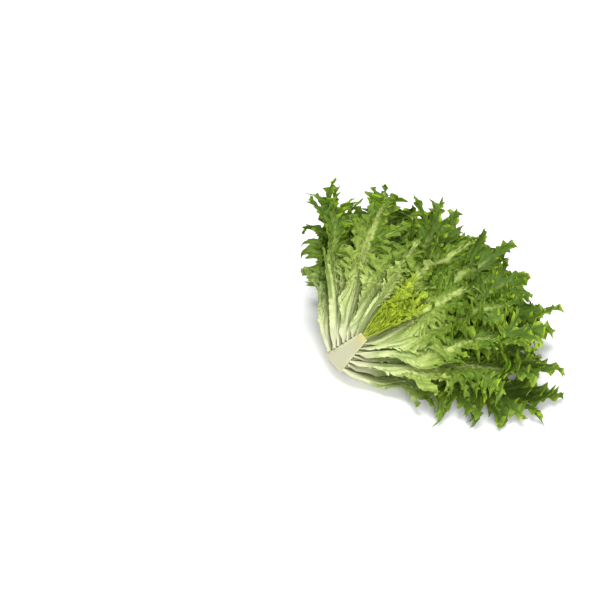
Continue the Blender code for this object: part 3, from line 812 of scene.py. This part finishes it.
def leaf_layout(columns, rings):
    """Where each corner of each face of a leaf lies in a flat square, face by face as leaf_mesh lists them.

    The columns lie side by side in strips, first those of the inner face and then those of the outer.
    """
    run = math.ceil((columns - 1) / LAYOUT_STRIPS)
    column, ring = np.meshgrid(np.arange(columns - 1), np.arange(rings - 1), indexing="ij")

    def spots(column, right, high, strips_up):
        strip = column // run
        across = (column - strip * run + right) / run
        return np.stack([0.01 + 0.98 * across, (strip + strips_up + high) / (2 * LAYOUT_STRIPS)], axis=-1)

    def blade(right, up, strips_up):
        high = 0.04 + 0.80 * (ring + up) / (rings - 1)
        return spots(column.ravel(), right, high.ravel(), strips_up)

    def edge(right, high):
        return spots(np.arange(columns - 1), right, high, 0)

    def root(start, ring, high):
        high = (LAYOUT_STRIPS + high) / (2 * LAYOUT_STRIPS)
        return np.stack([start + 0.4 * ring / (rings - 1), np.full(rings - 1, high)], axis=-1)

    # The rim's faces and the root's two edges lie in the gaps between strips
    strips, low, high = LAYOUT_STRIPS, 0.88, 0.96
    first, last, side = 0.02, 0.55, np.arange(rings - 1)
    after = side + 1
    blocks = (
        (blade(0, 0, 0), blade(0, 1, 0), blade(1, 1, 0), blade(1, 0, 0)),
        (blade(0, 0, strips), blade(1, 0, strips), blade(1, 1, strips), blade(0, 1, strips)),
        (edge(0, low), edge(0, high), edge(1, high), edge(1, low)),
        (root(first, side, low), root(first, side, high), root(first, after, high), root(first, after, low)),
        (root(last, after, low), root(last, after, high), root(last, side, high), root(last, side, low)),
    )
    return np.concatenate([np.stack(block, axis=1) for block in blocks])


def leaf_mesh(plan, step, ring_shares, tone):
    """Points, faces, layout and maps of one closed leaf: inner face, outer face and the edge between them."""
    inner, outwards, maps = leaf_surface(plan, step, ring_shares)
    columns, rings = inner.shape[:2]
    stem = outwards * (thickness_at(plan, maps) - BLADE_THICKNESS)[..., None]
    outer = inner + grid_normals(inner) * BLADE_THICKNESS + (1.0 - RIB_INSIDE) * stem
    inner = inner - RIB_INSIDE * stem
    for points, floor in ((inner, BLADE_THICKNESS), (outer, 0.0)):
        points[..., 2] = np.maximum(points[..., 2], floor)
        keep_near(points)
    middle = columns // 2
    numbers = np.arange(columns * rings).reshape(columns, rings)
    # Past the tip, the midrib's points are those of the other side
    numbers[middle + 1 :, 0] = numbers[:middle, 0][::-1]
    count = columns * rings

    def quads(a, b, c, d):
        return np.stack([a.ravel(), b.ravel(), c.ravel(), d.ravel()], axis=1)

    a, b, c, d = numbers[:-1, :-1], numbers[:-1, 1:], numbers[1:, 1:], numbers[1:, :-1]
    rim, first, last = numbers[:, -1], numbers[0], numbers[-1]
    blocks = (
        quads(a, b, c, d),
        quads(a, d, c, b) + count,
        quads(rim[:-1], rim[:-1] + count, rim[1:] + count, rim[1:]),
        quads(first[:-1], first[:-1] + count, first[1:] + count, first[1:]),
        quads(last[1:], last[1:] + count, last[:-1] + count, last[:-1]),
    )
    points = np.concatenate([inner.reshape(-1, 3), outer.reshape(-1, 3)])
    maps = {key: np.tile(values.ravel(), 2) for key, values in maps.items()}
    maps["under"] = np.repeat([0.0, 1.0], count)
    maps["tone"] = np.full(2 * count, tone)
    return points, np.concatenate(blocks), leaf_layout(columns, rings), maps


def clean_faces(faces, layout):
    """The faces without repeated corners, as lists of three or four corners, and their corners' layout."""
    kept, spots = [], []
    for face, places in zip(faces.tolist(), layout.tolist()):
        own = [spot for spot in range(4) if face[spot] != face[spot - 1]]
        if len(own) >= 3:
            kept.append([face[spot] for spot in own])
            spots.extend(places[spot] for spot in own)
    return kept, spots


def add_object(name, data):
    """A new object in the scene."""
    made = bpy.data.objects.new(name, data)
    bpy.context.scene.collection.objects.link(made)
    return made


def add_map(mesh, name, values):
    """One number, or three, at each of the mesh's points, which its material reads by this name."""
    values = np.array(values, dtype=np.float32)
    kind, key = ("FLOAT", "value") if values.ndim == 1 else ("FLOAT_VECTOR", "vector")
    mesh.attributes.new(name, kind, "POINT").data.foreach_set(key, values.ravel())


def shaded_object(mesh, sharp_from, material):
    """The mesh's object: smooth, but sharp where faces meet at more than an angle, and of one material."""
    mesh.shade_smooth()
    mesh.set_sharp_from_angle(angle=sharp_from)
    mesh.materials.append(material)
    return add_object(mesh.name, mesh)


def leaf_object(name, parts, material):
    """One piece from the meshes of its leaves, with the maps that its material reads."""
    cells = math.ceil(math.sqrt(len(parts)))
    faces, spots, start = [], [], 0
    for count, (points, part_faces, layout, _) in enumerate(parts):
        cell = np.array([count % cells, count // cells])
        kept, places = clean_faces(part_faces + start, (layout + cell) / cells)
        faces.extend(kept)
        spots.extend(places)
        start += len(points)
    points = np.concatenate([part[0] for part in parts])
    used = np.zeros(len(points), dtype=bool)
    for face in faces:
        used[face] = True
    numbers = np.cumsum(used) - 1
    mesh = bpy.data.meshes.new(name)
    mesh.from_pydata(points[used].tolist(), [], [numbers[face].tolist() for face in faces])
    maps = {key: np.concatenate([part[3][key] for part in parts])[used] for key in parts[0][3]}
    add_map(mesh, "flat", np.stack([maps["x"], maps["y"], maps["tone"]], axis=1))
    for key in LEAF_MAPS:
        add_map(mesh, key, maps[key])
    mesh.uv_layers.new(name="OFBake").data.foreach_set("uv", np.array(spots, dtype=np.float32).ravel())
    return shaded_object(mesh, SHARP_FROM, material)


class Nodes:
    """A material's node tree, with short calls for the nodes that the materials here are made of."""

    def __init__(self, name):
        self.material = bpy.data.materials.new(name)
        self.material.use_nodes = True
        self.tree = self.material.node_tree
        self.shader = self.tree.nodes["Principled BSDF"]
        self.output = self.tree.nodes["Material Output"]

    def set(self, node, inputs):
        """Give a node's inputs, by name or by number, their values or link other nodes' outputs to them."""
        for key, value in inputs.items():
            socket = node.inputs[key]
            if isinstance(value, bpy.types.NodeSocket):
                self.tree.links.new(value, socket)
            elif socket.type == "RGBA":
                socket.default_value = (*value, 1.0)
            else:
                socket.default_value = value

    def add(self, kind, inputs, **settings):
        """A new node."""
        node = self.tree.nodes.new("ShaderNode" + kind)
        for key, value in settings.items():
            setattr(node, key, value)
        self.set(node, inputs)
        return node

    def math(self, operation, *values, clamp=False):
        return self.add("Math", dict(enumerate(values)), operation=operation, use_clamp=clamp).outputs[0]

    def plus(self, first, second):
        return self.math("ADD", first, second)

    def minus(self, first, second):
        return self.math("SUBTRACT", first, second)

    def times(self, first, second):
        return self.math("MULTIPLY", first, second)

    def ramp(self, value, low, high):
        """0 where value is low and 1 where it is high, with a smooth rise or fall between."""
        inputs = {"Value": value, "From Min": min(low, high), "From Max": max(low, high)}
        rise = self.add("MapRange", inputs, interpolation_type="SMOOTHSTEP").outputs["Result"]
        return rise if low <= high else self.minus(1.0, rise)

    def mix(self, factor, first, second, blend="MIX"):
        inputs = {"Factor": factor, 6: first, 7: second}
        return self.add("Mix", inputs, data_type="RGBA", blend_type=blend).outputs[2]

    def layered(self, colour, layers):
        """A colour under layers, each of them a strength, a colour and, where it isn't a mix, a blend."""
        for layer in layers:
            colour = self.mix(layer[0], colour, *layer[1:])
        return colour

    def number(self, name):
        """A number of a piece's map."""
        return self.add("Attribute", {}, attribute_name=name).outputs["Fac"]

    def vector(self, name):
        """A vector of a piece's map, and its three numbers."""
        vector = self.add("Attribute", {}, attribute_name=name).outputs["Vector"]
        return vector, self.add("SeparateXYZ", {0: vector}).outputs

    def noise(self, vector, stretch, scale, detail):
        """Noise at a vector whose three numbers are first multiplied by the stretch."""
        at = self.add("VectorMath", {0: vector, 1: stretch}, operation="MULTIPLY").outputs[0]
        inputs = {"Vector": at, "Scale": scale, "Detail": detail, "Roughness": NOISE_ROUGHNESS}
        return self.add("TexNoise", inputs).outputs["Fac"]

    def bump(self, height, distance, strength):
        inputs = {"Height": height, "Distance": distance, "Strength": strength}
        return self.add("Bump", inputs).outputs["Normal"]


def leaf_veins(n, x, off_vein, ring, distance, column, patches, rib_width):
    """How much of the midrib a spot shows, and how much of the vein in its lobe and the fine ones off it."""
    width = n.math("MAXIMUM", n.minus(RIB_BASE, n.times(distance, RIB_LOSS)), RIB_END)
    width = n.math("MAXIMUM", n.times(width, rib_width), LEAST_RIB)
    midrib = n.ramp(n.math("DIVIDE", n.math("ABSOLUTE", x), width), 1.5, 0.5)
    width = n.plus(n.times(n.minus(1.0, ring), LOBE_VEIN), LEAST_VEIN)
    lobe_vein = n.times(n.ramp(n.math("DIVIDE", off_vein, width), 1.6, 0.3), n.ramp(ring, 1.02, 0.45))
    fan = n.plus(n.plus(column, off_vein), n.times(n.minus(patches, 0.5), VEIN_WOBBLE))
    stripe = n.math("ABSOLUTE", n.minus(n.math("FRACT", n.times(fan, VEINS_A_METRE)), 0.5))
    fine_vein = n.times(n.ramp(stripe, 0.17, 0.02), n.ramp(ring, 0.05, 0.3))
    veins = n.math("MAXIMUM", lobe_vein, n.times(fine_vein, FINE_VEINS))
    return midrib, n.times(veins, VEINS_SHOW)


def leaf_material(name, root, rib, blade, rim, margin, glow, rib_width, root_to, rim_from, through, cream):
    """A leaf: pale at its root and along its veins, green towards its frills, with painted highlights on its
    margins and painted shade in blotches and cells, and lit through from behind.
    """
    n = Nodes(name)
    flat, (x, _, tone) = n.vector("flat")
    off_vein, ring, distance, under, column = (n.number(key) for key in LEAF_MAPS)
    even = (1.0, 1.0, TONE_SPREAD)
    patches, cells, shade_blotches = (n.noise(flat, even, *kind) for kind in (PATCHES, CELLS, SHADE_BLOTCHES))
    fibres, streaks = (n.noise(flat, (*stretch, TONE_SPREAD), 1.0, 3.0) for stretch in (FIBRES, STREAKS))
    midrib, veins = leaf_veins(n, x, off_vein, ring, distance, column, patches, rib_width)

    # How far out a spot lies, from 0 at the core to 1 at the far rim, uneven from leaf to leaf
    reach = n.plus(n.times(distance, 5.0), n.times(n.minus(patches, 0.5), 0.35))
    reach = n.plus(reach, n.times(tone, 0.25))
    green = n.ramp(reach, 0.45 * rim_from, rim_from)
    # The rim's deep green, less towards each lobe's margin, which gets a paler green in patches: partly the
    # margin's own colour and partly painted highlight
    edge = n.times(n.ramp(ring, 0.35, 1.0), n.ramp(reach, 0.25, 0.7))
    inside = n.minus(1.0, n.times(edge, 0.35))
    deep = n.math("MULTIPLY", n.ramp(reach, rim_from - 0.15, rim_from + 0.25), inside, clamp=True)
    margin_highlight = n.times(n.ramp(ring, 0.60, 1.0), n.ramp(n.times(patches, reach), 0.24, 0.50))
    margin_highlight = n.times(margin_highlight, n.ramp(cells, 0.36, 0.62))
    # Green streaks in the stems, which fade towards the core and towards the frills
    stems = n.times(n.ramp(distance, 0.0, 0.050), n.ramp(distance, 0.190, 0.110))
    streaks = n.times(n.ramp(streaks, 0.38, 0.62), stems)
    creamy = n.times(n.ramp(distance, 0.060, 0.025), cream)
    # Painted shade: dark green blotches among the frills, stronger where the leaf is greener
    shade_blotches = n.times(n.ramp(shade_blotches, 0.40, 0.64), green)
    layers = (
        (green, blade),
        (deep, rim),
        # Painted highlight on the margins, in part their own paler green
        (n.times(margin_highlight, 0.75), margin),
        (n.times(veins, n.ramp(reach, 1.1, 0.5)), rib),
        (n.times(midrib, n.ramp(reach, 1.00, 0.58)), n.mix(0.25, rib, root)),
        (n.ramp(distance, root_to, 0.3 * root_to), root),
        (n.times(streaks, 0.72), blade),
        (creamy, STEM_CREAM),
        # Painted shade in the dark green blotches
        (n.times(shade_blotches, 0.60), rim),
        # Painted light and shade: small cells darken or lighten the colour
        (0.6, n.plus(0.80, n.times(cells, 0.4)), "MULTIPLY"),
        (n.times(under, 0.12), PALE_UNDER),
    )
    colour = n.layered(rib, layers)

    raised = n.times(n.math("MAXIMUM", midrib, n.times(veins, 2.0)), -0.5)
    for height, share in ((patches, 1.2), (cells, 0.5), (n.times(fibres, midrib), 0.6)):
        raised = n.plus(raised, n.times(height, share))
    normal = n.bump(raised, 0.0012, 0.7)
    roughness = n.plus(0.34, n.times(cells, 0.22))
    inputs = {"Base Color": colour, "Normal": normal, "Roughness": roughness, "Specular IOR Level": 0.10}
    n.set(n.shader, inputs)
    glowing = n.add("BsdfTranslucent", {"Color": n.mix(0.65, colour, glow), "Normal": normal})
    mixed = n.add("MixShader", {"Fac": through, 1: n.shader.outputs[0], 2: glowing.outputs[0]})
    n.set(n.output, {"Surface": mixed.outputs[0]})
    return n.material


def core_material():
    """The cut core: moist cream flesh, yellower at its top, with browned edges."""
    n = Nodes("core_flesh")
    at, (_, _, height) = n.vector("core_at")
    edge = n.number("core_edge")
    patches = n.noise(at, (1.0, 1.0, 1.0), 90.0, 3.0)
    grain = n.noise(at, (1.0, 1.0, 0.25), 700.0, 3.0)
    browned = n.ramp(n.plus(edge, n.times(patches, 0.3)), 0.75, 1.25)
    browned = n.times(browned, n.ramp(height, 0.016, 0.0))
    growing = n.times(n.ramp(height, 0.036, 0.047), n.ramp(patches, 0.30, 0.62))
    outside = n.times(n.ramp(edge, 0.55, 1.0), n.ramp(height, 0.006, 0.02))
    layers = (
        (n.ramp(height, 0.020, 0.046), CORE_TOP),
        (n.times(patches, 0.5), CORE_PATCH),
        (n.times(browned, 0.35), CORE_BROWN),
        (n.times(growing, 0.45), CORE_GROWING),
        (n.times(outside, 0.55), CORE_OUTSIDE),
    )
    inputs = {
        "Base Color": n.layered(CORE_FLESH, layers),
        "Normal": n.bump(n.plus(grain, n.times(patches, 2.0)), 0.0004, 0.6),
        "Roughness": n.plus(0.30, n.times(grain, 0.2)),
        "Subsurface Weight": 0.25,
        "Subsurface Radius": (0.004, 0.003, 0.0015),
        "Subsurface Scale": 1.0,
    }
    n.set(n.shader, inputs)
    return n.material


def core_object(material):
    """The halved core: rings of points up its length, half of each round its back and half across its cut."""
    points, edge, at = [], [], []
    around = 2 * CORE_SIDES
    for height in np.linspace(0.0, CORE_LENGTH, CORE_RINGS):
        radius = float(core_radius(height))
        end = min(height, CORE_LENGTH - height) / CORE_ROUNDED_OVER
        rounded = 1.0 - CORE_ROUNDED_BY * max(0.0, 1.0 - end) ** 2
        near_foot = 1.0 - min(1.0, height / CORE_FOOT_EDGE)
        for step in range(around):
            angle = math.pi * step / CORE_SIDES
            if step < CORE_SIDES:
                across, behind = math.cos(angle), math.sin(angle)
            else:
                across, behind = -1.0 + 2.0 * (step - CORE_SIDES) / CORE_SIDES, 0.0
            ridge = CORE_RIDGE_HEIGHT * math.sin(CORE_RIDGES * angle + CORE_RIDGE_TWIST * height)
            wide = radius * (1.0 + ridge * behind) * rounded
            at.append((across * wide, -behind * wide, height))
            points.append(HEAD + at[-1][0] * SIDE + at[-1][1] * OUT + height * ALONG)
            edge.append(max(abs(across), near_foot) if step >= CORE_SIDES else 1.0)
    faces = []
    for low in range(0, (CORE_RINGS - 1) * around, around):
        high = low + around
        for step in range(around):
            after = (step + 1) % around
            faces.append((low + step, low + after, high + after, high + step))
    faces.append(range(around)[::-1])
    faces.append(range((CORE_RINGS - 1) * around, CORE_RINGS * around))
    mesh = bpy.data.meshes.new("core_flesh")
    mesh.from_pydata(points, [], faces)
    add_map(mesh, "core_at", at)
    add_map(mesh, "core_edge", edge)
    return shaded_object(mesh, CORE_SHARP_FROM, material)


def hand_in(piece, node):
    """Put the piece on the root body and hide the node that it takes the place of."""
    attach(piece, "root")
    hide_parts(node)


def kept_plans(make_plan, leaves):
    """Of this many leaves round the whole head, the plans of those on this half's side of the cut."""
    plans = [make_plan(number) for number in range(leaves)]
    return [plan for plan in plans if abs(plan["azimuth"]) < KEPT_TURN]


def build_lettuce():
    """Every piece of the half, each in its node's place."""
    green = leaf_material("leaf_green", **LEAF_LOOK)
    plans = kept_plans(leaf_plan, HEAD_LEAVES)
    fit_lips(plans)
    for count, plan in enumerate(plans, 1):
        tone = frill_chance(TONE_SEED, plan["number"]).uniform(*TONES) + INNER_TONE * plan["inwards"]
        mesh = leaf_mesh(plan, COLUMN_STEP * plan["frill"], RING_SHARES, tone)
        hand_in(leaf_object(f"frilled_leaf_{count:02d}", [mesh], green), f"leaf_{count:02d}")
    meshes = [
        leaf_mesh(plan, HEART_COLUMN_STEP, HEART_RING_SHARES, HEART_TONE * plan["inwards"])
        for plan in kept_plans(heart_plan, HEART_BLADES)
    ]
    lime = leaf_material("heart_lime", **HEART_LOOK)
    hand_in(leaf_object("frilled_heart", meshes, lime), "heart")
    hand_in(core_object(core_material()), "core")


def add_camera():
    """The photograph's view: a long lens that looks down on the half."""
    back = Vector((0.0, -math.cos(VIEW_HEIGHT), math.sin(VIEW_HEIGHT)))
    up = Vector((0.0, math.sin(VIEW_HEIGHT), math.cos(VIEW_HEIGHT)))
    right = Vector((1.0, 0.0, 0.0))
    aim = Vector(HEAD) - FOOT_RIGHT * PIXEL * right + FOOT_BELOW * PIXEL * up
    data = bpy.data.cameras.new("camera")
    data.lens, data.sensor_width = LENS, SENSOR
    camera = add_object("camera", data)
    camera.location = aim + back * (IMAGE_PIXELS * PIXEL * LENS / SENSOR)
    camera.rotation_euler = (-back).to_track_quat("-Z", "Y").to_euler()
    bpy.context.scene.camera = camera


def add_floor():
    """A plain white table."""
    mesh = bpy.data.meshes.new("floor")
    corners = [(x * FLOOR_REACH, y * FLOOR_REACH, 0.0) for x, y in ((-1, -1), (1, -1), (1, 1), (-1, 1))]
    mesh.from_pydata(corners, [], [(0, 1, 2, 3)])
    n = Nodes("floor_white")
    n.set(n.shader, {"Base Color": FLOOR_WHITE, "Roughness": 0.9, "Specular IOR Level": 0.1})
    mesh.materials.append(n.material)
    add_object("floor", mesh)


def add_studio():
    """White surroundings, and soft square lights from above and from the front."""
    world = bpy.data.worlds.new("studio")
    world.use_nodes = True
    background = world.node_tree.nodes["Background"]
    background.inputs["Color"].default_value = (1.0, 1.0, 1.0, 1.0)
    background.inputs["Strength"].default_value = WORLD_STRENGTH
    bpy.context.scene.world = world
    for name, (place, size, power) in LIGHTS.items():
        data = bpy.data.lights.new(name, "AREA")
        data.size, data.energy = size, power
        light = add_object(name, data)
        light.location = place
        light.rotation_euler = (Vector(LIGHTS_AIM) - Vector(place)).to_track_quat("-Z", "Y").to_euler()
    bpy.context.scene.view_settings.view_transform = "Standard"


build_lettuce()
add_floor()
add_camera()
add_studio()
